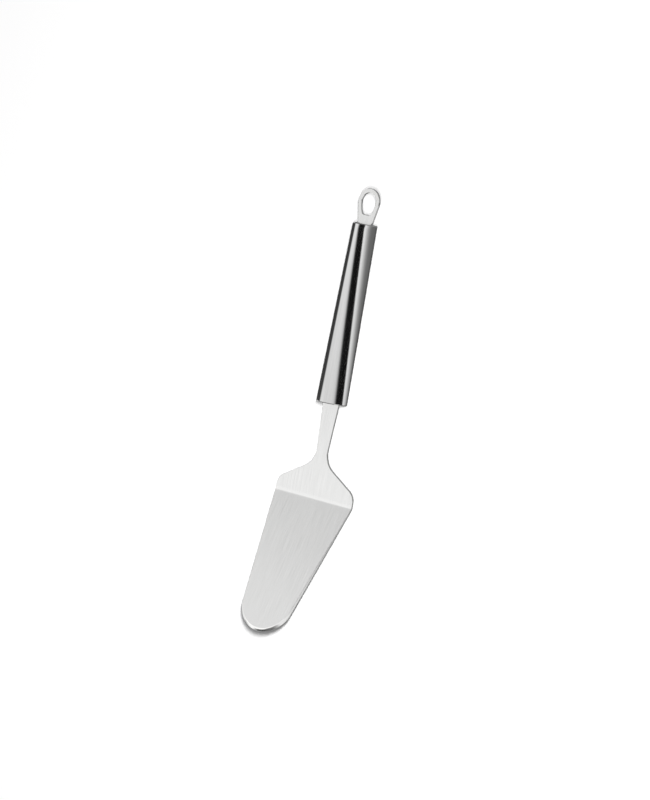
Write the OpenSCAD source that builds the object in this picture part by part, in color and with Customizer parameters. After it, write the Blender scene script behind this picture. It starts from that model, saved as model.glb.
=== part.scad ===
// Cake server: a stamped blade on a tapered tube handle with a hanging loop.
// It lies as it rests by itself: on the heel of the blade and on the front rim of the handle.
// X is across the blade, Y runs from the tip towards the loop, and Z is up from the table.

/* [Blade] */
// Thickness of the sheet that the blade, shoulders, neck and tang are stamped from
sheet_t = 1.5; // [1.2:0.1:2.2]
// Length of the blade from the crease at its heel to its tip
blade_l = 87; // [75:1:120]
// Width of the blade across its heel
heel_w = 60; // [50:1:75]
// Width between the straight sides of the blade where they would reach the tip
tip_w = 33; // [28:1:40]
// Radius of the shallow curve across the front of the tip
tip_front_r = 30; // [26:1:45]
// Radius of the round between the front of the tip and each side
tip_corner_r = 13; // [9:1:15]
// Width of the bevel ground around the tip, which fades out along the sides
bevel_w = 1.2; // [0.6:0.1:2]
// Depth of the bevel in the thickness of the sheet
bevel_h = 0.8; // [0.4:0.1:1]
// Distance from the crease at which the bevel has faded out
bevel_from = 12; // [5:1:30]

/* [Crease] */
// Angle by which the shoulders and the handle rise from the plane of the blade
bend_angle = 21; // [16:1:32]
// Radius inside the bend at the crease
bend_r = 2; // [1:0.25:4]

/* [Shoulders and neck] */
// Straight stretch at each side of the heel, above the crease
heel_side = 3; // [1:0.5:6]
// Radius of the outer corner of each shoulder
shoulder_r = 8; // [4:0.5:12]
// Slope of the shoulders, measured from square across
shoulder_slope = 30; // [20:1:40]
// Radius of the hollow between each shoulder and the neck
neck_fillet_r = 13; // [6:1:16]
// Width between the sides of the neck where they would meet the shoulders
neck_root_w = 7.4; // [6:0.2:9]
// Width of the neck where it enters the handle, and of the tang inside
neck_w = 12; // [10:0.5:13.5]
// Length of the neck from the shoulders to the handle
neck_l = 36; // [26:1:60]
// Length of the tang inside the handle
tang_l = 36; // [15:1:60]
// Corner cut off each side of the tang's end
tang_chamfer = 2; // [0.5:0.5:4]

/* [Handle] */
// Length of the handle tube
tube_l = 110; // [100:1:140]
// Outer diameter of the tube at its front end
tube_front_d = 19; // [18:0.5:24]
// Outer diameter of the tube at its rear end
tube_rear_d = 15; // [14:0.5:18]
// Wall thickness of the tube
tube_wall = 0.8; // [0.5:0.1:1]
// Radius of the rounded outer edge at each end of the tube
rim_r = 0.3; // [0.1:0.05:0.4]

/* [End caps] */
// Thickness of the sheet that the two end caps are drawn from
cap_t = 0.8; // [0.5:0.1:1]
// Length of each cap's skirt inside the tube
skirt_l = 4; // [3:0.5:6]

/* [Hanging loop] */
// Thickness of the sheet of the loop
loop_t = 1.5; // [1.2:0.1:2.2]
// Width across the round of the loop
loop_w = 16; // [14:0.5:18]
// Length of the loop outside the handle
loop_l = 21.6; // [20:0.2:28]
// Width of the loop where it stands on the rear cap
loop_base_w = 10.6; // [9:0.2:11]
// Width of the egg-shaped hole
hole_w = 10.7; // [9:0.1:11]
// Length of the hole
hole_l = 13.4; // [12:0.2:15]
// Width of the hole across its flat bottom
hole_base_w = 5.2; // [4:0.2:6]
// Radius of the two corners at the bottom of the hole
hole_corner_r = 1; // [0.5:0.1:1.5]
// Width of the tail that passes through the rear cap
tail_w = 8; // [6:0.5:8.5]
// Length of the tail inside the handle
tail_l = 7; // [4:0.5:12]

/* [Welds] */
// Leg of the fillet welds that hold the tang and the tail to the caps, inside the handle
bead_leg = 1.2; // [0.6:0.1:1.6]
// Leg of the groove that the weld around each cap fills
groove_leg = 0.4; // [0.2:0.05:0.45]

/* [Hidden] */
$fn = 96;

// Clearance around each cap in the bore of the tube
cap_gap = 0.05;
// Clearance of the tang and the tail in the slots of the caps
slot_gap = 0.1;
// Overrun of a cut past the faces that it goes through
cut_over = 0.5;
// Excess of a round over the tangent one, so that it crosses the straight edges beside it
round_over = 0.01;
// Height of the blanks that trim the sheet to its outline, several times its thickness
blank_h = 6 * sheet_t;
// Number of chords in the small round at each rim of the tube, and in the bend at the crease
rim_steps = 6;
bend_steps = 12;

// Places on one side of the centre line, followed by the same on the other side in reverse order
function both_sides(points) =
    concat(points, [for (i = [len(points) - 1:-1:0]) [-points[i].x, points[i].y]]);

// Blade outline: X across, Y from the crease towards the tip
heel_half = heel_w / 2;
taper = atan((heel_half - tip_w / 2) / blade_l);
side_dir = [-sin(taper), cos(taper)];
side_out = [cos(taper), sin(taper)];
front_centre = [0, blade_l - tip_front_r];
corner_start = [heel_half, 0] - tip_corner_r * side_out;
corner_reach = corner_start - front_centre;
corner_along = -corner_reach * side_dir + sqrt(pow(corner_reach * side_dir, 2)
    - corner_reach * corner_reach + pow(tip_front_r - tip_corner_r, 2));
corner_centre = corner_start + corner_along * side_dir;
corner_turn = atan2(corner_centre.y - front_centre.y, corner_centre.x - front_centre.x);
front_dir = [cos(corner_turn), sin(corner_turn)];
side_end = corner_centre + tip_corner_r * side_out;

// Outline of shoulders, neck and tang: X across, Y from the crease towards the handle
shoulder_turn = 90 - shoulder_slope;
shoulder_dir = [cos(shoulder_slope), -sin(shoulder_slope)];
shoulder_up = [sin(shoulder_slope), cos(shoulder_slope)];
shoulder_centre = [heel_half - shoulder_r, heel_side];
shoulder_corner_y = heel_side + shoulder_r * tan(shoulder_turn / 2);
neck_root = [neck_root_w / 2,
             shoulder_corner_y + (heel_half - neck_root_w / 2) * tan(shoulder_slope)];
tube_start = neck_root.y + neck_l;
neck_flare = atan((neck_w - neck_root_w) / 2 / neck_l);
neck_dir = [sin(neck_flare), cos(neck_flare)];
fillet_reach = neck_fillet_r * tan((shoulder_turn + neck_flare) / 2);
fillet_centre = neck_root + fillet_reach * shoulder_dir + neck_fillet_r * shoulder_up;
tang_end = tube_start + tang_l;

// Bend: its centre is above the sheet, over the crease
bend_outer_r = bend_r + sheet_t;
bend_centre_z = bend_r + sheet_t / 2;
// Stretch before the blade, seen from its own plane, that the bend takes up
bend_reach = bend_outer_r * sin(bend_angle) + heel_side / 4;
// Place in the side view at a distance from the bend's centre, and at a distance v out on the blade
function on_blade(v, r) = [-v * cos(bend_angle) - r * sin(bend_angle),
                           bend_centre_z + v * sin(bend_angle) - r * cos(bend_angle)];
function on_bend(r) = [for (i = [0:bend_steps]) let (a = bend_angle * i / bend_steps)
                       [-r * sin(a), bend_centre_z - r * cos(a)]];

// Handle tube: radii at a distance from the front end
tube_end = tube_start + tube_l;
function outer_r(y) = (tube_front_d + (tube_rear_d - tube_front_d) * y / tube_l) / 2;
function bore_r(y) = outer_r(y) - tube_wall;

// Hanging loop outline: X across, Y along the handle
loop_end = tube_end + loop_l;
loop_centre = [0, loop_end - loop_w / 2];
loop_foot = [loop_base_w / 2, tube_end];
foot_reach = loop_foot - loop_centre;
loop_tangent = atan2(foot_reach.y, foot_reach.x) + acos(loop_w / 2 / norm(foot_reach));

// Hole of the loop: round above, narrowing to a flat bottom with small corners
loop_band = (loop_w - hole_w) / 2;
hole_bottom = loop_end - loop_band - hole_l;
hole_corner = [hole_base_w / 2 - hole_corner_r, hole_bottom + hole_corner_r];
hole_reach = hole_corner - loop_centre;
hole_tangent = atan2(hole_reach.y, hole_reach.x)
    + acos((hole_w / 2 - hole_corner_r) / norm(hole_reach));

// Rest: the tilt at which the bend at the heel and the front rim of the tube both touch the table
rim_depth = bend_centre_z + outer_r(rim_r) - rim_r;
rim_reach = tube_start + rim_r;
rest_tilt = acos((bend_outer_r - rim_r) / norm([rim_depth, rim_reach])) - atan2(rim_reach, rim_depth);
blade_tilt = bend_angle - rest_tilt;
rest_z = bend_outer_r - bend_centre_z * cos(rest_tilt);
// The origin is under the middle of the whole length
tip_y = -blade_l * cos(blade_tilt) - bend_outer_r * sin(blade_tilt) - bend_centre_z * sin(rest_tilt);
loop_y = loop_end * cos(rest_tilt) + loop_t / 2 * sin(rest_tilt);
rest_y = -(tip_y + loop_y) / 2;

// Stands the handle's own frame (crease at its origin, axis along Y) on the table
module at_rest() {
    translate([0, rest_y, rest_z]) rotate([rest_tilt, 0, 0]) children();
}

// Stands the blade's own frame (crease at its origin, tip towards +Y) in the handle's frame
module in_blade_plane() {
    translate([0, 0, bend_centre_z]) rotate([-bend_angle, 0, 0])
        translate([0, 0, -bend_centre_z]) mirror([0, 1, 0]) children();
}

// A flat plate of its children's outline, with its middle at Z 0
module plate(t) {
    translate([0, 0, -t / 2]) linear_extrude(t) children();
}

// A circle at a place, and the same on the other side of the centre line
module circle_pair(centre, r) {
    translate(centre) circle(r);
    translate([-centre.x, centre.y]) circle(r);
}

// Turns a profile (radius, distance) around the handle's axis, from a place along it
module turned(y, points) {
    translate([0, y, 0]) rotate([-90, 0, 0]) rotate_extrude() polygon(points);
}

// Takes away what lies beyond a plane through a point, on the side that the normal shows
module beyond(point, normal, reach) {
    unit = normal / norm(normal);
    translate(point) rotate([0, acos(unit.z), atan2(unit.y, unit.x)])
        translate([-reach, -reach, 0]) cube(2 * reach);
}

// A thick disc with the bevel around its upper edge
module bevelled_disc(centre, r) {
    edge_z = sheet_t / 2 - bevel_h;
    translate([centre.x, centre.y, 0]) rotate_extrude()
        polygon([[0, -blank_h / 2], [r, -blank_h / 2], [r, edge_z],
                 [r - 2 * bevel_w, edge_z + 2 * bevel_h], [0, edge_z + 2 * bevel_h]]);
}

// Cutter that fades the bevel out along a straight side, from the tip towards the heel
module side_bevel() {
    top = sheet_t / 2;
    fade = [heel_half, 0] + bevel_from * side_dir;
    start = [fade.x, fade.y, top];
    on_top = [side_end.x - bevel_w * side_out.x, side_end.y - bevel_w * side_out.y, top];
    on_side = [side_end.x, side_end.y, top - bevel_h];
    intersection() {
        beyond(start, cross(on_side - start, on_top - start), blade_l);
        translate(start) rotate([0, 0, taper]) translate([-2 * bevel_w, -bevel_w, -sheet_t])
            cube([4 * bevel_w, norm(side_end - fade) + 3 * bevel_w, 2 * sheet_t]);
    }
}

// Blank of the blade from the bend towards +Y: its straight sides, two corners, and the front between
module blade_blank() {
    difference() {
        plate(blank_h) polygon(both_sides([[heel_half, 0] - bend_reach * side_dir, side_end,
                                           corner_centre]));
        side_bevel();
        mirror([1, 0, 0]) side_bevel();
    }
    bevelled_disc(corner_centre, tip_corner_r + round_over);
    mirror([1, 0, 0]) bevelled_disc(corner_centre, tip_corner_r + round_over);
    intersection() {
        bevelled_disc(front_centre, tip_front_r);
        plate(blank_h) polygon([front_centre, front_centre + 2 * tip_front_r * front_dir,
                                front_centre + 2 * tip_front_r * [-front_dir.x, front_dir.y]]);
    }
}

// Outline of shoulders, neck and tang, from the crease towards +Y. It is wider than the strip at the heel.
module tang_outline() {
    difference() {
        union() {
            polygon(both_sides([[heel_half + cut_over, 0], [heel_half + cut_over, heel_side],
                                shoulder_centre,
                                shoulder_centre + shoulder_r * shoulder_up,
                                neck_root + fillet_reach * shoulder_dir,
                                neck_root + fillet_reach * neck_dir,
                                [neck_w / 2, tube_start],
                                [neck_w / 2, tang_end - tang_chamfer],
                                [neck_w / 2 - tang_chamfer, tang_end]]));
            intersection() {
                circle_pair(shoulder_centre, shoulder_r + round_over);
                translate([-heel_w, heel_side / 2]) square([2 * heel_w, heel_side + shoulder_r]);
            }
        }
        circle_pair(fillet_centre, neck_fillet_r + round_over);
    }
}

// The sheet seen from the side, bent at the crease, and as wide as the heel
module bent_strip() {
    tang_far = tang_end + cut_over;
    tip_far = blade_l + cut_over;
    inner = on_bend(bend_r);
    rotate([90, 0, 90]) linear_extrude(heel_w, center = true)
        polygon(concat([[tang_far, -sheet_t / 2]], on_bend(bend_outer_r),
                       [on_blade(tip_far, bend_outer_r), on_blade(tip_far, bend_r)],
                       [for (i = [bend_steps:-1:0]) inner[i]], [[tang_far, sheet_t / 2]]));
}

// One stamping: blade, crease, shoulders, neck, and the tang hidden in the handle
module blade() {
    color("gainsboro") at_rest() intersection() {
        bent_strip();
        union() {
            plate(blank_h) tang_outline();
            in_blade_plane() blade_blank();
        }
    }
}

// Tapered tube with rounded rims, its bore edges chamfered for the welds around the caps
module handle_tube() {
    turn = [for (i = [0:rim_steps]) 90 * i / rim_steps];
    front = [for (a = turn) [outer_r(0) - rim_r, rim_r] + rim_r * [sin(a), -cos(a)]];
    rear = [for (a = turn) [outer_r(tube_l) - rim_r, tube_l - rim_r] + rim_r * [cos(a), sin(a)]];
    color("silver") at_rest() turned(tube_start, concat(front, rear,
        [[bore_r(tube_l) + groove_leg, tube_l],
         [bore_r(tube_l - groove_leg), tube_l - groove_leg],
         [bore_r(groove_leg), groove_leg],
         [bore_r(0) + groove_leg, 0]]));
}

// Drawn cap: a disc with a skirt, its outer edge chamfered. mouth and seat are bore radii.
module cap_cup(mouth, seat) {
    face_r = mouth - cap_gap;
    skirt_r = min(mouth, seat) - cap_gap;
    rotate_extrude() polygon([[0, 0], [face_r - groove_leg, 0], [face_r, groove_leg],
                              [skirt_r, skirt_l], [skirt_r - cap_t, skirt_l],
                              [skirt_r - cap_t, cap_t], [0, cap_t]]);
}

// Slot through the face of a cap
module cap_slot(w, t) {
    slot_w = w + 2 * slot_gap;
    slot_t = t + 2 * slot_gap;
    translate([-slot_w / 2, -slot_t / 2, -cut_over]) cube([slot_w, slot_t, cap_t + 2 * cut_over]);
}

// Cap in the front end of the tube, slotted for the tang
module front_cap() {
    color("silver") at_rest() translate([0, tube_start, 0]) rotate([-90, 0, 0]) difference() {
        cap_cup(bore_r(groove_leg), bore_r(skirt_l));
        cap_slot(neck_w, sheet_t);
    }
}

// Cap in the rear end of the tube, slotted for the tail of the loop
module rear_cap() {
    color("silver") at_rest() translate([0, tube_end, 0]) rotate([90, 0, 0]) difference() {
        cap_cup(bore_r(tube_l - groove_leg), bore_r(tube_l - skirt_l));
        cap_slot(tail_w, loop_t);
    }
}

// Outline of the loop, with its tail
module loop_outline() {
    polygon(both_sides([[tail_w / 2, tube_end - tail_l], [tail_w / 2, tube_end], loop_foot,
                        loop_centre + loop_w / 2 * [cos(loop_tangent), sin(loop_tangent)]]));
    translate(loop_centre) circle(loop_w / 2);
}

// Outline of the egg-shaped hole
module hole_outline() {
    hole_dir = [cos(hole_tangent), sin(hole_tangent)];
    polygon(both_sides([[hole_corner.x, hole_bottom], hole_corner + hole_corner_r * hole_dir,
                        loop_centre + hole_w / 2 * hole_dir]));
    translate(loop_centre) circle(hole_w / 2);
    circle_pair(hole_corner, hole_corner_r);
}

// Stamped loop that stands on the rear cap, with its tail inside the handle
module hanging_loop() {
    color("gainsboro") at_rest() plate(loop_t) difference() {
        loop_outline();
        hole_outline();
    }
}

// Fillet bead across the sheet, in the corner between its upper face and a cap's inner face
module bead(w, t) {
    translate([w / 2 - bead_leg, 0, t / 2]) rotate([0, -90, 0])
        linear_extrude(w - 2 * bead_leg) polygon([[0, 0], [bead_leg, 0], [0, bead_leg]]);
}

// Pair of beads, above and below the sheet
module bead_pair(w, t) {
    bead(w, t);
    mirror([0, 0, 1]) bead(w, t);
}

// Beads that hold the tang to the front cap, made before the cap goes into the tube
module tang_weld() {
    color("darkgray") at_rest() translate([0, tube_start + cap_t, 0]) bead_pair(neck_w, sheet_t);
}

// Beads that hold the tail of the loop to the rear cap
module loop_weld() {
    color("darkgray") at_rest() translate([0, tube_end - cap_t, 0]) mirror([0, 1, 0])
        bead_pair(tail_w, loop_t);
}

// Ring of weld metal in the groove around a cap, ground flush. edge and mouth are bore radii.
module rim_ring(edge, mouth) {
    rotate_extrude() polygon([[mouth - cap_gap - groove_leg, 0], [edge + groove_leg, 0],
                              [mouth, groove_leg], [mouth - cap_gap, groove_leg]]);
}

// Weld around the front cap
module front_rim_weld() {
    color("darkgray") at_rest() translate([0, tube_start, 0]) rotate([-90, 0, 0])
        rim_ring(bore_r(0), bore_r(groove_leg));
}

// Weld around the rear cap
module rear_rim_weld() {
    color("darkgray") at_rest() translate([0, tube_end, 0]) rotate([90, 0, 0])
        rim_ring(bore_r(tube_l), bore_r(tube_l - groove_leg));
}

blade();
handle_tube();
front_cap();
rear_cap();
hanging_loop();
tang_weld();
loop_weld();
front_rim_weld();
rear_rim_weld();
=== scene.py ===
import math

import bmesh
import bpy
from mathutils import Matrix, Vector
from mathutils.geometry import tessellate_polygon


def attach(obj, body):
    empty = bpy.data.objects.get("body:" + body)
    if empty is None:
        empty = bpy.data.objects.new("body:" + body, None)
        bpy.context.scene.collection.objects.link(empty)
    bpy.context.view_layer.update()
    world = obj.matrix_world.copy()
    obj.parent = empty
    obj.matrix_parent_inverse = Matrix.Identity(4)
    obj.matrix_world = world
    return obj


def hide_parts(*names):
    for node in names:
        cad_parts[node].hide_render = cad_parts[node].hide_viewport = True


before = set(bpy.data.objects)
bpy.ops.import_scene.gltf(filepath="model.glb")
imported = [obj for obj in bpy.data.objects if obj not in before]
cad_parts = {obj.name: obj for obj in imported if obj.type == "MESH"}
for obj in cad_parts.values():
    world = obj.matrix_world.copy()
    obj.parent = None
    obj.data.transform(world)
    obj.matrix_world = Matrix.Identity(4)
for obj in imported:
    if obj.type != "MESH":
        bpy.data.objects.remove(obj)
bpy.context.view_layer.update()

# Camera
# It looks down at the server from its right, a long lens two metres away, rolled so that the
# handle points up in the picture and the blade down.
lens_mm = 163.64
camera_place = (1.34387, -0.07038, 1.74355)
view_right = Vector((0.76543, 0.27181, -0.58330)).normalized()
view_up = Vector((-0.19363, 0.96170, 0.19404)).normalized()
view_back = view_right.cross(view_up).normalized()
camera = bpy.data.objects.new("camera", bpy.data.cameras.new("camera"))
camera.data.lens = lens_mm
camera.data.sensor_width = 36
camera.data.clip_end = 20
camera.matrix_world = (
    Matrix.Translation(camera_place)
    @ Matrix((view_right, view_right.cross(view_up).cross(view_right), view_back)).transposed().to_4x4()
)
bpy.context.scene.collection.objects.link(camera)
bpy.context.scene.camera = camera

# Blade
# One stamping of 1.5 mm stainless sheet: wedge blade, crease, shoulders, neck, and the tang that
# goes on inside the handle. Its edges are tumbled round, and the tip is ground to shape afterwards.
MM = 0.001
SHEET = 1.5
HEEL_HALF = 30.0
TIP_HALF = 16.5
BLADE_LENGTH = 87.0
GROUND_LENGTH = 86.7
BEND_INNER = 2.0
BEND_ANGLE = math.radians(21)
TUBE_START = 58.8031
TANG_LENGTH = 36.0
TANG_CHAMFER = 2.0
TANG_END = TUBE_START + TANG_LENGTH
# At rest the handle is tilted, and the middle of the crease lies here, in metres
REST_TILT = math.radians(8.383297)
CREASE_PLACE = (0, -0.0512066626, 0.0007793841)
bend_middle = BEND_INNER + SHEET / 2
bend_length = bend_middle * BEND_ANGLE
rest_pose = Matrix.Translation(CREASE_PLACE) @ Matrix.Rotation(REST_TILT, 4, "X")


def in_server(x, y, z):
    """A place in millimetres from the middle of the crease, along the handle, set into the rest pose."""
    return rest_pose @ Vector((x * MM, y * MM, z * MM))


def on_sheet(x, along, height):
    """A place on the blade's bent sheet. along runs from the crease: positive on the shoulders, negative over
    the bend and the blade."""
    radius = bend_middle - height
    if along >= 0:
        return in_server(x, along, height)
    if along >= -bend_length:
        turn = -along / bend_middle
        return in_server(x, -radius * math.sin(turn), bend_middle - radius * math.cos(turn))
    out = -along - bend_length
    sine, cosine = math.sin(BEND_ANGLE), math.cos(BEND_ANGLE)
    return in_server(x, -out * cosine - radius * sine, bend_middle + out * sine - radius * cosine)


def on_plate(x, along, height):
    """A place on a flat sheet in the plane of the handle."""
    return in_server(x, along, height)


def arc(centre, radius, start, end, count):
    """Points along an arc, without its last one. Angles in degrees."""
    turns = [math.radians(start + (end - start) * i / count) for i in range(count)]
    return [(centre[0] + radius * math.cos(a), centre[1] + radius * math.sin(a)) for a in turns]


def line(start, end, count):
    """Points along a line, without its last one."""
    return [
        (start[0] + (end[0] - start[0]) * i / count, start[1] + (end[1] - start[1]) * i / count)
        for i in range(count)
    ]


def outward(ring):
    """Unit normals of a closed ring of points, pointing to the right of its direction."""
    normals = []
    for i, (x, y) in enumerate(ring):
        before = Vector((x - ring[i - 1][0], y - ring[i - 1][1])).normalized()
        after_point = ring[(i + 1) % len(ring)]
        after = Vector((after_point[0] - x, after_point[1] - y)).normalized()
        along = (before + after).normalized()
        normals.append((along.y, -along.x))
    return normals


def rim(bm, ring, side, profiles, place, layers):
    """The edge of a stamped sheet around a ring: one strip of faces per step of the profile.
    A profile is a list of (inset, height, wear). Returns the rows of vertices, upper face first."""
    rows = [[] for _ in profiles[0]]
    for (x, y), (nx, ny), profile in zip(ring, outward(ring), profiles):
        for row, (inset, height, wear) in zip(rows, profile):
            flat = (x - side * inset * nx, y - side * inset * ny)
            vert = bm.verts.new(place(flat[0], flat[1], height))
            vert[layers["wear"]] = wear
            vert[layers["flat"]] = Vector((flat[0] * MM, flat[1] * MM, height * MM))
            row.append(vert)
    for upper, lower in zip(rows, rows[1:]):
        for i in range(len(ring)):
            j = (i + 1) % len(ring)
            bm.faces.new((upper[i], upper[j], lower[j], lower[i]))
    return rows


def finished_mesh(name, bm):
    """Closes up a piece: outward faces, smooth shading, and an object at the world's origin."""
    bmesh.ops.recalc_face_normals(bm, faces=bm.faces)
    for face in bm.faces:
        face.smooth = True
    mesh = bpy.data.meshes.new(name)
    bm.to_mesh(mesh)
    bm.free()
    piece = bpy.data.objects.new(name, mesh)
    bpy.context.scene.collection.objects.link(piece)
    return piece


# Blade outline in millimetres, one side from the middle of the tip to the end of the tang
taper = math.degrees(math.atan((HEEL_HALF - TIP_HALF) / BLADE_LENGTH))
taper_cos, taper_sin = math.cos(math.radians(taper)), math.sin(math.radians(taper))
front_radius, corner_radius = 20.0, 13.0
front_centre = Vector((0, GROUND_LENGTH - front_radius))
corner_start = Vector((HEEL_HALF - corner_radius * taper_cos, -corner_radius * taper_sin))
side_direction = Vector((-taper_sin, taper_cos))
reach = corner_start - front_centre
along_side = -reach.dot(side_direction) + math.sqrt(
    reach.dot(side_direction) ** 2 - reach.length_squared + (front_radius - corner_radius) ** 2
)
corner_centre = corner_start + along_side * side_direction
corner_turn = math.degrees(math.atan2(corner_centre.y - front_centre.y, corner_centre.x))
side_end = (corner_centre.x + corner_radius * taper_cos, corner_centre.y + corner_radius * taper_sin)

shoulder_radius, heel_side, slope, fillet_radius = 8.0, 3.0, 30.0, 13.0
neck_root_half, neck_half = 3.7, 6.0
slope_direction = Vector((math.cos(math.radians(slope)), -math.sin(math.radians(slope))))
slope_up = Vector((math.sin(math.radians(slope)), math.cos(math.radians(slope))))
shoulder_centre = Vector((HEEL_HALF - shoulder_radius, heel_side))
root = Vector((
    neck_root_half,
    heel_side
    + shoulder_radius * math.tan(math.radians(90 - slope) / 2)
    + (HEEL_HALF - neck_root_half) * math.tan(math.radians(slope)),
))
flare = math.degrees(math.atan((neck_half - neck_root_half) / (TUBE_START - root.y)))
neck_direction = Vector((math.sin(math.radians(flare)), math.cos(math.radians(flare))))
fillet_reach = fillet_radius * math.tan(math.radians(90 - slope + flare) / 2)
fillet_centre = root + fillet_reach * slope_direction + fillet_radius * slope_up

blade_side = arc(front_centre, front_radius, 90, corner_turn, 24)
blade_side += arc(corner_centre, corner_radius, corner_turn, taper, 14)
blade_side += line(side_end, (HEEL_HALF, 0), 36)
right_side = [(x, -y - bend_length) for x, y in blade_side]
right_side += line((HEEL_HALF, -bend_length), (HEEL_HALF, 0), 8)
right_side += line((HEEL_HALF, 0), (HEEL_HALF, heel_side), 4)
right_side += arc(shoulder_centre, shoulder_radius, 0, 90 - slope, 16)
slope_start = shoulder_centre + shoulder_radius * slope_up
slope_end = root + fillet_reach * slope_direction
right_side += line(slope_start, slope_end, 8)
right_side += arc(fillet_centre, fillet_radius, -90 - slope, -180 - flare, 16)
neck_start = root + fillet_reach * neck_direction
right_side += line(neck_start, (neck_half, TUBE_START), 14)
right_side += line((neck_half, TUBE_START), (neck_half, TANG_END - TANG_CHAMFER), 8)
right_side += [(neck_half, TANG_END - TANG_CHAMFER), (neck_half - TANG_CHAMFER, TANG_END)]
count = len(right_side)
blade_ring = right_side + [(-x, y) for x, y in reversed(right_side[1:])]

# Edge profiles as (inset, height above mid-sheet, wear), from the upper face round to the lower one.
# The edge is tumbled round along the neck and the heel. A narrow ground facet grows along the sides of
# the blade, and around the tip it opens into a wide facet over a steeper one. The wide facet is narrower
# on the right of the tip, where the grinding was lighter.
half = SHEET / 2
tumbled = [(0.55, half, 0), (0.30, half, 0.2), (0.185, half - 0.023, 1), (0.088, half - 0.088, 1),
           (0.023, half - 0.185, 1), (0, half - 0.30, 0.4), (0, 0.30, 0), (0, 0.10, 0)]
tumbled_under = [(0, -half + 0.24, 0.4), (0.032, -half + 0.12, 0.8), (0.12, -half + 0.032, 0.8),
                 (0.24, -half, 0.2), (0.5, -half, 0)]
side_ground = [(0.95, half, 0), (0.66, half, 0.3), (0.60, half - 0.02, 1), (0.55, half - 0.06, 1),
               (0.05, 0.02, 1), (0.015, -0.03, 1), (0, -0.10, 0.4), (0, -0.25, 0)]
tip_ground = [(2.10, half, 0), (1.80, half, 0.3), (1.73, half - 0.02, 1), (1.66, half - 0.06, 1),
              (1.06, 0.29, 1), (0.99, 0.24, 1), (0.12, -0.665, 1), (0.075, -0.705, 1)]
tip_under = [(0.05, -0.722, 0.8), (0.035, -0.735, 0.8), (0.05, -half, 0.8), (0.11, -half, 0.2),
             (0.4, -half, 0)]
tip_right = [(2.10, half, 0), (1.80, half, 0.3), (1.73, half - 0.02, 1), (1.66, half - 0.06, 1),
             (1.44, 0.543, 1), (1.37, 0.49, 1), (0.293, -0.665, 1), (0.25, -0.705, 1)]
tip_right_under = [(0.23, -0.722, 0.8), (0.215, -0.735, 0.8), (0.23, -half, 0.8), (0.29, -half, 0.2),
                   (0.6, -half, 0)]
RIGHT_STARTS, RIGHT_FULL = 4.5, 12.0
FACET_STARTS = 12.0
tip_starts = corner_centre.y + corner_radius * taper_sin
tip_full = corner_centre.y + corner_radius * math.sin(math.radians(corner_turn))


def blended(first, second, share):
    """A profile between two others."""
    return [tuple(a + (b - a) * share for a, b in zip(p, q)) for p, q in zip(first, second)]


def blade_profile(across, along):
    """The edge profile at a place on the sheet."""
    out = -along - bend_length
    side_share = min(max((out - FACET_STARTS) / (tip_starts - FACET_STARTS), 0), 1)
    tip_share = min(max((out - tip_starts) / (tip_full - tip_starts), 0), 1)
    right_share = min(max((across - RIGHT_STARTS) / (RIGHT_FULL - RIGHT_STARTS), 0), 1)
    side = blended(tumbled, side_ground, side_share)
    tip = blended(tip_ground, tip_right, right_share)
    below_tip = blended(tip_under, tip_right_under, right_share)
    return blended(side, tip, tip_share) + blended(tumbled_under, below_tip, tip_share)


bm = bmesh.new()
layers = {
    "wear": bm.verts.layers.float.new("wear"),
    "flat": bm.verts.layers.float_vector.new("flat_place"),
}
rows = rim(bm, blade_ring, 1, [blade_profile(x, y) for x, y in blade_ring], on_sheet, layers)
for row in (rows[0], rows[-1]):
    left = [row[0]] + list(reversed(row[count:]))
    bm.faces.new((row[0], row[1], left[1]))
    for i in range(1, count - 1):
        bm.faces.new((row[i], row[i + 1], left[i + 1], left[i]))
blade = finished_mesh("cake_server_blade", bm)


def new_group(name, inputs, outputs):
    """An empty shader node group with the given sockets."""
    group = bpy.data.node_groups.new(name, "ShaderNodeTree")
    for label, kind, value in inputs:
        socket = group.interface.new_socket(name=label, in_out="INPUT", socket_type=kind)
        if value is not None:
            socket.default_value = value
    for label, kind in outputs:
        group.interface.new_socket(name=label, in_out="OUTPUT", socket_type=kind)
    return group, group.nodes.new("NodeGroupInput"), group.nodes.new("NodeGroupOutput")


def number(tree, operation, first, second=None, third=None, clamp=False):
    """A Math node with its sockets filled by numbers or by other nodes' outputs."""
    node = tree.nodes.new("ShaderNodeMath")
    node.operation = operation
    node.use_clamp = clamp
    for socket, value in zip(node.inputs, (first, second, third)):
        if isinstance(value, (int, float)):
            socket.default_value = value
        elif value is not None:
            tree.links.new(value, socket)
    return node.outputs[0]


def spread(tree, value, low, high, to_low, to_high, smooth=False):
    """A Map Range node: value from low..high to to_low..to_high, clamped."""
    node = tree.nodes.new("ShaderNodeMapRange")
    node.interpolation_type = "SMOOTHSTEP" if smooth else "LINEAR"
    tree.links.new(value, node.inputs["Value"])
    for label, bound in (("From Min", low), ("From Max", high), ("To Min", to_low), ("To Max", to_high)):
        if isinstance(bound, (int, float)):
            node.inputs[label].default_value = bound
        else:
            tree.links.new(bound, node.inputs[label])
    return node.outputs["Result"]


def scaled_noise(tree, place, scale, detail=3.0, roughness=0.55):
    """Noise on a place stretched by a scale vector, in cycles per metre."""
    stretch = tree.nodes.new("ShaderNodeVectorMath")
    stretch.operation = "MULTIPLY"
    tree.links.new(place, stretch.inputs[0])
    if isinstance(scale, (tuple, list)):
        stretch.inputs[1].default_value = scale
    else:
        tree.links.new(scale, stretch.inputs[1])
    noise = tree.nodes.new("ShaderNodeTexNoise")
    noise.inputs["Scale"].default_value = 1
    noise.inputs["Detail"].default_value = detail
    noise.inputs["Roughness"].default_value = roughness
    tree.links.new(stretch.outputs[0], noise.inputs["Vector"])
    return noise.outputs["Fac"]


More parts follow.
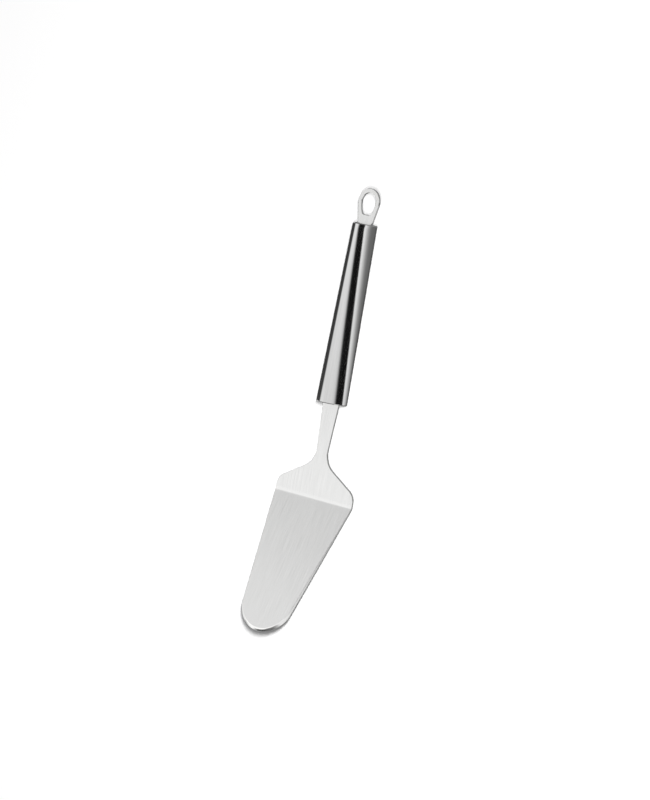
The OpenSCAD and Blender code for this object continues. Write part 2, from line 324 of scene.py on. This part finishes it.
# Brushing: long fine lines along the piece, broad soft ones under them
brushing, brush_in, brush_out = new_group(
    "brushing",
    [("Place", "NodeSocketVector", None), ("Fine", "NodeSocketVector", (6000, 60, 6000)),
     ("Broad", "NodeSocketVector", (900, 9, 900))],
    [("Fine Lines", "NodeSocketFloat"), ("Broad Lines", "NodeSocketFloat")],
)
fine_lines = scaled_noise(brushing, brush_in.outputs["Place"], brush_in.outputs["Fine"], 4.0, 0.6)
broad_lines = scaled_noise(brushing, brush_in.outputs["Place"], brush_in.outputs["Broad"], 2.0)
brushing.links.new(fine_lines, brush_out.inputs["Fine Lines"])
brushing.links.new(broad_lines, brush_out.inputs["Broad Lines"])

# Use: cloudy wiping marks, and sparse hairline scratches in two directions
SCRATCH_WIDTH = 0.006
PATCH_EDGE = 0.08
use_marks, use_in, use_out = new_group(
    "use_marks",
    [("Place", "NodeSocketVector", None)],
    [("Wiping", "NodeSocketFloat"), ("Scratches", "NodeSocketFloat")],
)
wiping = scaled_noise(use_marks, use_in.outputs["Place"], (45, 30, 45), 4.0, 0.6)
use_marks.links.new(wiping, use_out.inputs["Wiping"])
scratch_sum = None
for turn, density in ((24, 0.60), (-63, 0.63)):
    turned = use_marks.nodes.new("ShaderNodeVectorRotate")
    turned.rotation_type = "Z_AXIS"
    turned.inputs["Angle"].default_value = math.radians(turn)
    use_marks.links.new(use_in.outputs["Place"], turned.inputs["Vector"])
    wave = scaled_noise(use_marks, turned.outputs[0], (600, 5, 600), 1.0)
    near = number(use_marks, "ABSOLUTE", number(use_marks, "SUBTRACT", wave, 0.5))
    thin = spread(use_marks, near, 0.0, SCRATCH_WIDTH, 1.0, 0.0)
    patches = scaled_noise(use_marks, turned.outputs[0], (260, 24, 260), 1.0)
    patch = spread(use_marks, patches, density, density + PATCH_EDGE, 0, 1)
    mark = number(use_marks, "MULTIPLY", thin, patch)
    scratch_sum = mark if scratch_sum is None else number(use_marks, "MAXIMUM", scratch_sum, mark)
use_marks.links.new(scratch_sum, use_out.inputs["Scratches"])


def place_from(tree, attribute):
    """A node that reads an attribute of the mesh."""
    node = tree.nodes.new("ShaderNodeAttribute")
    node.attribute_name = attribute
    return node


# The part of the lines' range that counts, and how strongly scratches, rubbed places and the painted
# highlight line show in a steel
BLEND_LOW, BLEND_HIGH = 0.3, 0.7
SCRATCH_ROUGHNESS, SCRATCH_CUT = 0.10, 0.6
WEAR_SHARE, HIGHLIGHT_SHARE = 0.7, 0.30
WEAR_AND_HIGHLIGHT_COLOUR, WEAR_AND_HIGHLIGHT_ROUGHNESS = (0.87, 0.87, 0.86, 1), -0.10


def steel(name, place_maker, colour, shine, fine, broad, weights, depth, wear=False, highlight_line=None):
    """Stainless steel. colour is (dark, light), shine is (roughness, swing), weights are those of the fine
    lines, broad lines and wiping marks, depth is the lines' depth in metres, and highlight_line is a painted
    highlight line across the piece, lighter in colour and a little smoother, as (place, half width) in
    metres."""
    material = bpy.data.materials.new(name)
    material.use_nodes = True
    tree = material.node_tree
    shader = tree.nodes["Principled BSDF"]
    shader.inputs["Metallic"].default_value = 1.0
    place = place_maker(tree)
    lines = tree.nodes.new("ShaderNodeGroup")
    lines.node_tree = brushing
    lines.inputs["Fine"].default_value = fine
    lines.inputs["Broad"].default_value = broad
    tree.links.new(place, lines.inputs["Place"])
    marks = tree.nodes.new("ShaderNodeGroup")
    marks.node_tree = use_marks
    tree.links.new(place, marks.inputs["Place"])
    blend = number(tree, "MULTIPLY_ADD", lines.outputs["Fine Lines"], weights[0],
                   number(tree, "MULTIPLY_ADD", lines.outputs["Broad Lines"], weights[1],
                          number(tree, "MULTIPLY", marks.outputs["Wiping"], weights[2])))
    mixed = tree.nodes.new("ShaderNodeMix")
    mixed.data_type = "RGBA"
    mixed.inputs["A"].default_value = (*colour[0], 1)
    mixed.inputs["B"].default_value = (*colour[1], 1)
    tree.links.new(spread(tree, blend, BLEND_LOW, BLEND_HIGH, 0, 1), mixed.inputs["Factor"])
    base = mixed.outputs["Result"]
    rough = spread(tree, blend, BLEND_LOW, BLEND_HIGH, shine[0] - shine[1], shine[0] + shine[1])
    rough = number(tree, "MULTIPLY_ADD", marks.outputs["Scratches"], SCRATCH_ROUGHNESS, rough)
    wear_and_highlight = None
    if wear:
        wear_and_highlight = number(tree, "MULTIPLY", place_from(tree, "wear").outputs["Fac"], WEAR_SHARE)
    # Painted highlight: a band across the piece is mixed toward a lighter colour, and its roughness is
    # lowered as a burnish would be
    if highlight_line:
        split = tree.nodes.new("ShaderNodeSeparateXYZ")
        tree.links.new(place, split.inputs[0])
        distance = number(tree, "ABSOLUTE", number(tree, "SUBTRACT", split.outputs["Y"], highlight_line[0]))
        highlight_mark = spread(tree, distance, 0.0, highlight_line[1], HIGHLIGHT_SHARE, 0.0, True)
        wear_and_highlight = number(tree, "MAXIMUM", wear_and_highlight, highlight_mark) if wear_and_highlight else highlight_mark
    if wear_and_highlight:
        lightened = tree.nodes.new("ShaderNodeMix")
        lightened.data_type = "RGBA"
        tree.links.new(base, lightened.inputs["A"])
        lightened.inputs["B"].default_value = WEAR_AND_HIGHLIGHT_COLOUR
        tree.links.new(wear_and_highlight, lightened.inputs["Factor"])
        base = lightened.outputs["Result"]
        rough = number(tree, "MULTIPLY_ADD", wear_and_highlight, WEAR_AND_HIGHLIGHT_ROUGHNESS, rough)
    tree.links.new(base, shader.inputs["Base Color"])
    tree.links.new(rough, shader.inputs["Roughness"])
    cuts = number(tree, "MULTIPLY", marks.outputs["Scratches"], SCRATCH_CUT)
    height = number(tree, "SUBTRACT", lines.outputs["Fine Lines"], cuts)
    bump = tree.nodes.new("ShaderNodeBump")
    bump.inputs["Strength"].default_value = 1.0
    bump.inputs["Distance"].default_value = depth
    tree.links.new(height, bump.inputs["Height"])
    tree.links.new(bump.outputs[0], shader.inputs["Normal"])
    return material


def flat_place(tree):
    """Coordinates of the flat sheet before it was bent, so that the grain follows the crease."""
    return place_from(tree, "flat_place").outputs["Vector"]


# Along the crease, on its shoulder side, the satin carries a painted highlight line: lighter in colour, and a
# little smoother like a burnish from the bending tool
satin = steel("satin_stainless", flat_place, ((0.68, 0.68, 0.675), (0.86, 0.86, 0.855)), (0.22, 0.07),
              (5200, 50, 5200), (500, 3, 500), (0.80, 0.04, 0.08), 3e-6, wear=True, highlight_line=(0.0006, 0.0019))
blade.data.materials.append(satin)
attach(blade, "root")
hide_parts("blade")

# Hanging loop
# A flat eyelet with an egg-shaped hole, stamped from the same sheet and tumbled with it. Its tail
# passes through the rear cap of the handle and is welded inside.
TUBE_LENGTH = 110.0
TUBE_END = TUBE_START + TUBE_LENGTH
LOOP_LENGTH = 21.6
LOOP_END = TUBE_END + LOOP_LENGTH
HOLE_LENGTH = 13.4
FOOT_HALF = 5.3
TAIL_HALF = 4.0
TAIL_LENGTH = 7.0
TAIL_STEP = 0.05
loop_radius, hole_radius, hole_side_radius, hole_corner_radius = 8.0, 5.35, 14.0, 2.0
loop_centre = (0, LOOP_END - loop_radius)
foot = (FOOT_HALF, TUBE_END)
foot_reach = math.hypot(foot[0], foot[1] - loop_centre[1])
loop_turn = math.degrees(math.atan2(foot[1] - loop_centre[1], foot[0]) + math.acos(loop_radius / foot_reach))
hole_bottom = LOOP_END - (loop_radius - hole_radius) - HOLE_LENGTH
hole_side_centre = (hole_radius - hole_side_radius, loop_centre[1])
hole_corner_y = hole_bottom + hole_corner_radius
hole_corner = (
    hole_side_centre[0]
    + math.sqrt((hole_side_radius - hole_corner_radius) ** 2 - (hole_corner_y - loop_centre[1]) ** 2),
    hole_corner_y,
)
hole_turn = math.degrees(math.atan2(hole_corner_y - loop_centre[1], hole_corner[0] - hole_side_centre[0]))
loop_side = arc(loop_centre, loop_radius, 90, loop_turn, 36)
loop_tangent = (
    loop_radius * math.cos(math.radians(loop_turn)),
    loop_centre[1] + loop_radius * math.sin(math.radians(loop_turn)),
)
loop_side += line(loop_tangent, foot, 8)
loop_side += [foot, (TAIL_HALF, TUBE_END - TAIL_STEP), (TAIL_HALF, TUBE_END - TAIL_LENGTH)]
loop_ring = loop_side + [(-x, y) for x, y in reversed(loop_side[1:])]
hole_side = arc(loop_centre, hole_radius, 90, 0, 24)
hole_side += arc(hole_side_centre, hole_side_radius, 0, hole_turn, 12)
hole_side += arc(hole_corner, hole_corner_radius, hole_turn, -90, 8)
hole_side += [(hole_corner[0], hole_bottom), (0, hole_bottom)]
hole_ring = hole_side + [(-x, y) for x, y in reversed(hole_side[1:-1])]
loop_profile = tumbled + tumbled_under

bm = bmesh.new()
layers = {
    "wear": bm.verts.layers.float.new("wear"),
    "flat": bm.verts.layers.float_vector.new("flat_place"),
}
outer_rows = rim(bm, loop_ring, -1, [loop_profile] * len(loop_ring), on_plate, layers)
hole_rows = rim(bm, hole_ring, 1, [loop_profile] * len(hole_ring), on_plate, layers)
for face_row in (0, -1):
    verts = outer_rows[face_row] + hole_rows[face_row]
    flats = [[Vector((v[layers["flat"]].x, v[layers["flat"]].y, 0)) for v in ring]
             for ring in (outer_rows[face_row], hole_rows[face_row])]
    for corners in tessellate_polygon(flats):
        bm.faces.new([verts[i] for i in corners])
loop = finished_mesh("hanging_eyelet", bm)
loop.data.materials.append(satin)
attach(loop, "root")
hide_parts("hanging_loop")

# Handle
# A tapered tube, drawn from thin stainless and polished along its length, with its two rims
# chamfered. Each end is closed by a slotted cap, welded round and ground flush.
FRONT_RADIUS = 9.5
REAR_RADIUS = 7.5
WALL = 0.8
WALL_STEP = 1.0
RIM = 0.45
EASE = 0.05
GROOVE = 0.4
STATIONS = (3, 10, 30, 55, 80, 100, 107)
LATHE_RADIUS = 20.0
LATHE_FACETS = 192


def outer_radius(y):
    """Outer radius of the tube at a distance from its front end."""
    return FRONT_RADIUS + (REAR_RADIUS - FRONT_RADIUS) * y / TUBE_LENGTH


def turning_tree():
    """Geometry nodes that turn a closed section around the handle's axis, as on a lathe."""
    tree = bpy.data.node_groups.new("turned_piece", "GeometryNodeTree")
    tree.interface.new_socket(name="Section", in_out="INPUT", socket_type="NodeSocketGeometry")
    for label, kind, value in (("Facets", "NodeSocketInt", LATHE_FACETS),
                               ("Lathe Radius", "NodeSocketFloat", LATHE_RADIUS * MM),
                               ("Metal", "NodeSocketMaterial", None)):
        socket = tree.interface.new_socket(name=label, in_out="INPUT", socket_type=kind)
        if value is not None:
            socket.default_value = value
    tree.interface.new_socket(name="Piece", in_out="OUTPUT", socket_type="NodeSocketGeometry")
    add, link = tree.nodes.new, tree.links.new
    start, end = add("NodeGroupInput"), add("NodeGroupOutput")
    section = add("GeometryNodeMeshToCurve")
    circle = add("GeometryNodeCurvePrimitiveCircle")
    sweep = add("GeometryNodeCurveToMesh")
    merge = add("GeometryNodeMergeByDistance")
    smooth = add("GeometryNodeSetShadeSmooth")
    realize = add("GeometryNodeRealizeInstances")
    metal = add("GeometryNodeSetMaterial")
    merge.inputs["Distance"].default_value = 1e-7
    link(start.outputs["Section"], section.inputs["Mesh"])
    link(start.outputs["Facets"], circle.inputs["Resolution"])
    link(start.outputs["Lathe Radius"], circle.inputs["Radius"])
    link(circle.outputs["Curve"], sweep.inputs["Curve"])
    link(section.outputs["Curve"], sweep.inputs["Profile Curve"])
    link(sweep.outputs["Mesh"], merge.inputs["Geometry"])
    link(merge.outputs["Geometry"], smooth.inputs["Geometry"])
    link(smooth.outputs["Geometry"], realize.inputs["Geometry"])
    link(realize.outputs["Geometry"], metal.inputs["Geometry"])
    link(start.outputs["Metal"], metal.inputs["Material"])
    link(metal.outputs["Geometry"], end.inputs["Piece"])
    return tree


lathe = turning_tree()


def turned_piece(name, section, metal):
    """Turns a closed section of (radius, distance from the tube's front end), in millimetres."""
    mesh = bpy.data.meshes.new(name)
    points = [((radius - LATHE_RADIUS) * MM, -y * MM, 0) for radius, y in section]
    mesh.from_pydata(points, [(i, (i + 1) % len(points)) for i in range(len(points))], [])
    piece = bpy.data.objects.new(name, mesh)
    bpy.context.scene.collection.objects.link(piece)
    modifier = piece.modifiers.new("lathe", "NODES")
    modifier.node_group = lathe
    inputs = [item for item in lathe.interface.items_tree if item.in_out == "INPUT"]
    sockets = {item.name: item.identifier for item in inputs}
    modifier[sockets["Facets"]] = LATHE_FACETS
    modifier[sockets["Lathe Radius"]] = LATHE_RADIUS * MM
    modifier[sockets["Metal"]] = metal
    bpy.context.view_layer.update()
    evaluated = piece.evaluated_get(bpy.context.evaluated_depsgraph_get())
    turned = bpy.data.meshes.new_from_object(evaluated)
    piece.modifiers.clear()
    piece.data = turned
    turned.name = name
    tube_place = Matrix.Translation((0, TUBE_START * MM, 0)) @ Matrix.Rotation(math.radians(-90), 4, "X")
    turned.transform(rest_pose @ tube_place)
    bm = bmesh.new()
    bm.from_mesh(turned)
    bmesh.ops.recalc_face_normals(bm, faces=bm.faces)
    bm.to_mesh(turned)
    bm.free()
    return piece


def handle_place(tree):
    """Object coordinates turned into the handle's own direction, so that lines run along the tube."""
    coordinates = tree.nodes.new("ShaderNodeTexCoord")
    mapping = tree.nodes.new("ShaderNodeMapping")
    mapping.inputs["Rotation"].default_value = (-REST_TILT, 0, 0)
    tree.links.new(coordinates.outputs["Object"], mapping.inputs["Vector"])
    return mapping.outputs["Vector"]


polished = steel("polished_stainless", handle_place, ((0.67, 0.67, 0.67), (0.78, 0.78, 0.775)), (0.058, 0.02),
                 (4200, 22, 4200), (900, 5, 900), (0.55, 0.25, 0.20), 0.6e-6)

# The tube's wall in section: front rim, outside, rear rim, and back along the inside
tube_section = [(FRONT_RADIUS - RIM - EASE, 0), (FRONT_RADIUS - RIM, 0),
                (FRONT_RADIUS - RIM + EASE, EASE), (FRONT_RADIUS - EASE, RIM - EASE)]
tube_section += [(outer_radius(y), y) for y in (RIM, RIM + EASE, *STATIONS)]
tube_section += [(REAR_RADIUS, TUBE_LENGTH - RIM - EASE), (REAR_RADIUS, TUBE_LENGTH - RIM),
                 (REAR_RADIUS - EASE, TUBE_LENGTH - RIM + EASE),
                 (REAR_RADIUS - RIM + EASE, TUBE_LENGTH - EASE),
                 (REAR_RADIUS - RIM, TUBE_LENGTH), (REAR_RADIUS - RIM - EASE, TUBE_LENGTH)]
tube_section += [(outer_radius(y) - WALL, y)
                 for y in (TUBE_LENGTH - GROOVE, TUBE_LENGTH - WALL_STEP, WALL_STEP, GROOVE)]
tube = turned_piece("tapered_handle_tube", tube_section, polished)
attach(tube, "root")
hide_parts("handle_tube")

# The caps' faces are ground across, so their lines run from side to side
ground_face = steel("ground_stainless", handle_place, ((0.62, 0.62, 0.62), (0.74, 0.74, 0.735)), (0.14, 0.04),
                    (80, 900, 5200), (14, 900, 900), (0.60, 0.20, 0.20), 2e-6)
for cap_name in ("front_cap", "rear_cap"):
    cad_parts[cap_name].material_slots[0].material = ground_face

# Welds
# The ring around each cap is ground flush with the end of the tube and a little duller than it.
# The beads that hold the tang and the tail stand inside, where nothing shows.
weld = steel("ground_weld", handle_place, ((0.46, 0.45, 0.43), (0.62, 0.61, 0.60)), (0.30, 0.08),
             (1600, 1600, 1600), (500, 500, 500), (0.40, 0.40, 0.20), 6e-6)
for weld_name in ("tang_weld", "loop_weld", "front_rim_weld", "rear_rim_weld"):
    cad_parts[weld_name].material_slots[0].material = weld

# Studio
# A white table, one soft lamp beside the camera's line of sight, and a tent of pale cloth with a
# dark slot, which only shows as a reflection in the steel.
bpy.context.scene.view_settings.view_transform = "Standard"

table_mesh = bpy.data.meshes.new("table")
TABLE_HALF = 4.0
table_mesh.from_pydata(
    [(-TABLE_HALF, -TABLE_HALF, 0), (TABLE_HALF, -TABLE_HALF, 0), (TABLE_HALF, TABLE_HALF, 0),
     (-TABLE_HALF, TABLE_HALF, 0)], [], [(0, 1, 2, 3)])
table = bpy.data.objects.new("table", table_mesh)
bpy.context.scene.collection.objects.link(table)
table_white = bpy.data.materials.new("table_white")
table_white.use_nodes = True
table_shader = table_white.node_tree.nodes["Principled BSDF"]
table_shader.inputs["Base Color"].default_value = (1, 1, 1, 1)
table_shader.inputs["Roughness"].default_value = 1.0
table_shader.inputs["Specular IOR Level"].default_value = 0.0
table_mesh.materials.append(table_white)
table.visible_glossy = False

TENT_RADIUS = 0.6
TENT_HALF_LENGTH = 1.4
TENT_SIDES = 96
tent_mesh = bpy.data.meshes.new("tent")
bm = bmesh.new()
bmesh.ops.create_cone(bm, cap_ends=True, segments=TENT_SIDES, radius1=TENT_RADIUS, radius2=TENT_RADIUS,
                      depth=2 * TENT_HALF_LENGTH)
bm.to_mesh(tent_mesh)
bm.free()
tent_mesh.transform(rest_pose @ Matrix.Rotation(math.radians(-90), 4, "X"))
tent = bpy.data.objects.new("tent", tent_mesh)
bpy.context.scene.collection.objects.link(tent)
tent.visible_camera = False
tent.visible_diffuse = False
tent.visible_shadow = False
tent.visible_transmission = False

tent_cloth = bpy.data.materials.new("tent_cloth")
tent_cloth.use_nodes = True
tree = tent_cloth.node_tree
tree.nodes.remove(tree.nodes["Principled BSDF"])
coordinates = tree.nodes.new("ShaderNodeTexCoord")
shifted = tree.nodes.new("ShaderNodeVectorMath")
shifted.operation = "SUBTRACT"
shifted.inputs[1].default_value = rest_pose.translation
tree.links.new(coordinates.outputs["Object"], shifted.inputs[0])
turned_back = tree.nodes.new("ShaderNodeMapping")
turned_back.inputs["Rotation"].default_value = (-REST_TILT, 0, 0)
tree.links.new(shifted.outputs[0], turned_back.inputs["Vector"])
split = tree.nodes.new("ShaderNodeSeparateXYZ")
tree.links.new(turned_back.outputs["Vector"], split.inputs[0])
along = split.outputs["Y"]
around = number(tree, "DEGREES", number(tree, "ARCTAN2", split.outputs["Z"], split.outputs["X"]))
AROUND_SEAM = 130.0
past_seam = number(tree, "FLOORED_MODULO", number(tree, "ADD", around, AROUND_SEAM), 360.0)
around = number(tree, "SUBTRACT", past_seam, AROUND_SEAM)


def cloth_ramp(value, low, high, stops):
    """A colour ramp of greys over low..high. stops are (place, brightness)."""
    node = tree.nodes.new("ShaderNodeValToRGB")
    node.color_ramp.interpolation = "LINEAR"
    elements = node.color_ramp.elements
    while len(elements) > 1:
        elements.remove(elements[-1])
    for i, (spot, grey) in enumerate(stops):
        position = (spot - low) / (high - low)
        element = elements[0] if i == 0 else elements.new(position)
        element.position = position
        element.color = (grey, grey, grey, 1)
    tree.links.new(spread(tree, value, low, high, 0, 1), node.inputs["Fac"])
    return node.outputs["Color"]


def cloth_times(first, second):
    """Two brightnesses multiplied."""
    node = tree.nodes.new("ShaderNodeMix")
    node.data_type = "RGBA"
    node.blend_type = "MULTIPLY"
    node.inputs["Factor"].default_value = 1.0
    tree.links.new(first, node.inputs["A"])
    tree.links.new(second, node.inputs["B"])
    return node.outputs["Result"]


def cloth_mix(factor, first, second):
    """first where factor is 0, second where it is 1."""
    node = tree.nodes.new("ShaderNodeMix")
    node.data_type = "RGBA"
    tree.links.new(factor, node.inputs["Factor"])
    for label, value in (("A", first), ("B", second)):
        if isinstance(value, tuple):
            node.inputs[label].default_value = value
        else:
            tree.links.new(value, node.inputs[label])
    return node.outputs["Result"]


def opaque_grey(tone):
    """An opaque grey."""
    return (tone, tone, tone, 1)


def soft_rise(value, start, end):
    """0 before start and 1 past end."""
    return spread(tree, value, start, end, 0, 1, True)


def soft_fall(value, start, end):
    """1 before start and 0 past end."""
    return spread(tree, value, start, end, 1, 0, True)


# The dark slot winds round the tent's right side while it runs along the handle
SLOT_START = -47.8
SLOT_TURN = 611.0
across_slot = number(tree, "SUBTRACT", around, number(tree, "MULTIPLY_ADD", along, SLOT_TURN, SLOT_START))
slot_tone = cloth_ramp(across_slot, -120, 120, [
    (-100, 0.16), (-77, 0.18), (-65, 0.21), (-54, 0.29), (-44, 0.40), (-34, 0.57), (-24, 0.78), (-15, 0.93),
    (-5.5, 0.94), (-2, 0.008), (46, 0.008), (52, 0.12), (59, 0.50), (66, 0.76), (78, 0.88), (100, 0.90)])
slot_tone = cloth_times(slot_tone, number(tree, "MULTIPLY", spread(tree, around, -112, -66, 0.25, 1),
                                         spread(tree, along, 0.03, 0.17, 0.96, 1.08)))
# Light falls along the tent from its front, and both its far ends are dark
sky_tone = cloth_ramp(along, -0.8, 0.8, [
    (-0.56, 0.05), (-0.49, 1.18), (-0.29, 1.18), (-0.15, 1.12), (-0.052, 1.11), (-0.044, 1.07),
    (-0.036, 1.09), (0.00, 1.09), (0.02, 1.00), (0.05, 0.86), (0.10, 0.90), (0.14, 0.99), (0.185, 1.00),
    (0.20, 1.02), (0.215, 0.985), (0.235, 0.90), (0.29, 0.79), (0.40, 0.84), (0.47, 0.84), (0.56, 0.06)])
side_tone = cloth_ramp(around, -130, 230, [
    (-120, 0.12), (-60, 0.27), (-40, 0.36), (-20, 0.50), (10, 0.80), (72, 0.80), (90, 1.0), (158, 1.0),
    (172, 0.80), (228, 0.80)])
sky = cloth_times(sky_tone, side_tone)
# Its front end is dark on the left and light on the right, with a dark strip overhead, and its rear
# end is half dark on the right. The places are metres from the crease, and degrees over the tent's
# top from its right side.
front_left = number(tree, "MULTIPLY", soft_fall(along, -0.34, -0.28), soft_rise(around, 170, 182))
sky = cloth_mix(front_left, sky, opaque_grey(0.12))
front_strip = number(tree, "MULTIPLY", soft_fall(along, -0.40, -0.36),
                     number(tree, "MULTIPLY", soft_rise(around, 52, 88), soft_fall(around, 104, 112)))
sky = cloth_mix(front_strip, sky, opaque_grey(0.18))
front_right = number(tree, "MULTIPLY", soft_fall(along, -0.265, -0.235),
                     number(tree, "MULTIPLY", soft_rise(around, -78, -66), soft_fall(around, 28, 42)))
sky = cloth_mix(front_right, sky, opaque_grey(0.85))
rear_right = number(tree, "MULTIPLY", soft_rise(along, 0.24, 0.30), soft_fall(around, -20, 10))
sky = cloth_mix(rear_right, sky, opaque_grey(0.34))
# Beside the handle the tent's left side is dark too
beside_handle = number(tree, "MULTIPLY", soft_rise(along, 0.000, 0.022), soft_fall(along, 0.182, 0.200))
left_dark = number(tree, "MULTIPLY", beside_handle, soft_rise(around, 142, 158))
tone = cloth_mix(left_dark, sky, opaque_grey(0.055))
inside_slot = number(tree, "MULTIPLY", beside_handle, soft_fall(around, 112, 124))
tone = cloth_mix(inside_slot, tone, slot_tone)
glow = tree.nodes.new("ShaderNodeEmission")
tree.links.new(tone, glow.inputs["Color"])
tree.links.new(glow.outputs[0], tree.nodes["Material Output"].inputs["Surface"])
tent_mesh.materials.append(tent_cloth)

world = bpy.data.worlds.new("studio")
bpy.context.scene.world = world
world.use_nodes = True
background = world.node_tree.nodes["Background"]
background.inputs["Color"].default_value = (1, 1, 1, 1)
light_path = world.node_tree.nodes.new("ShaderNodeLightPath")
seen = number(world.node_tree, "MAXIMUM", light_path.outputs["Is Camera Ray"],
              number(world.node_tree, "MAXIMUM", light_path.outputs["Is Glossy Ray"],
                     light_path.outputs["Is Transmission Ray"]))
WORLD_LEVEL = 0.27
world_level = spread(world.node_tree, seen, 0, 1, WORLD_LEVEL, 1.0)
world.node_tree.links.new(world_level, background.inputs["Strength"])

# The lamp stands on the line from the hanging loop to the camera, and so the shadow only shows
# below the tip of the blade. Its falloff is taken out, which lights the whole table evenly.
LAMP_DISTANCE = 1.12
lamp = bpy.data.objects.new("soft_lamp", bpy.data.lights.new("soft_lamp", "AREA"))
lamp.data.shape = "ELLIPSE"
lamp.data.size = 0.20
lamp.data.size_y = 0.03
lamp.data.energy = 11.0
loop_place = on_plate(0, LOOP_END - loop_radius, SHEET / 2)
lamp_direction = (camera.matrix_world.translation - loop_place).normalized()
lamp_place = loop_place + LAMP_DISTANCE * lamp_direction
lamp.matrix_world = Matrix.Translation(lamp_place) @ lamp_direction.to_track_quat(
    "Z", "Y").to_matrix().to_4x4()
lamp.data.use_nodes = True
falloff = lamp.data.node_tree.nodes.new("ShaderNodeLightFalloff")
falloff.inputs["Strength"].default_value = 1.0
lamp_glow = lamp.data.node_tree.nodes["Emission"]
lamp.data.node_tree.links.new(falloff.outputs["Constant"], lamp_glow.inputs["Strength"])
lamp.visible_glossy = False
bpy.context.scene.collection.objects.link(lamp)
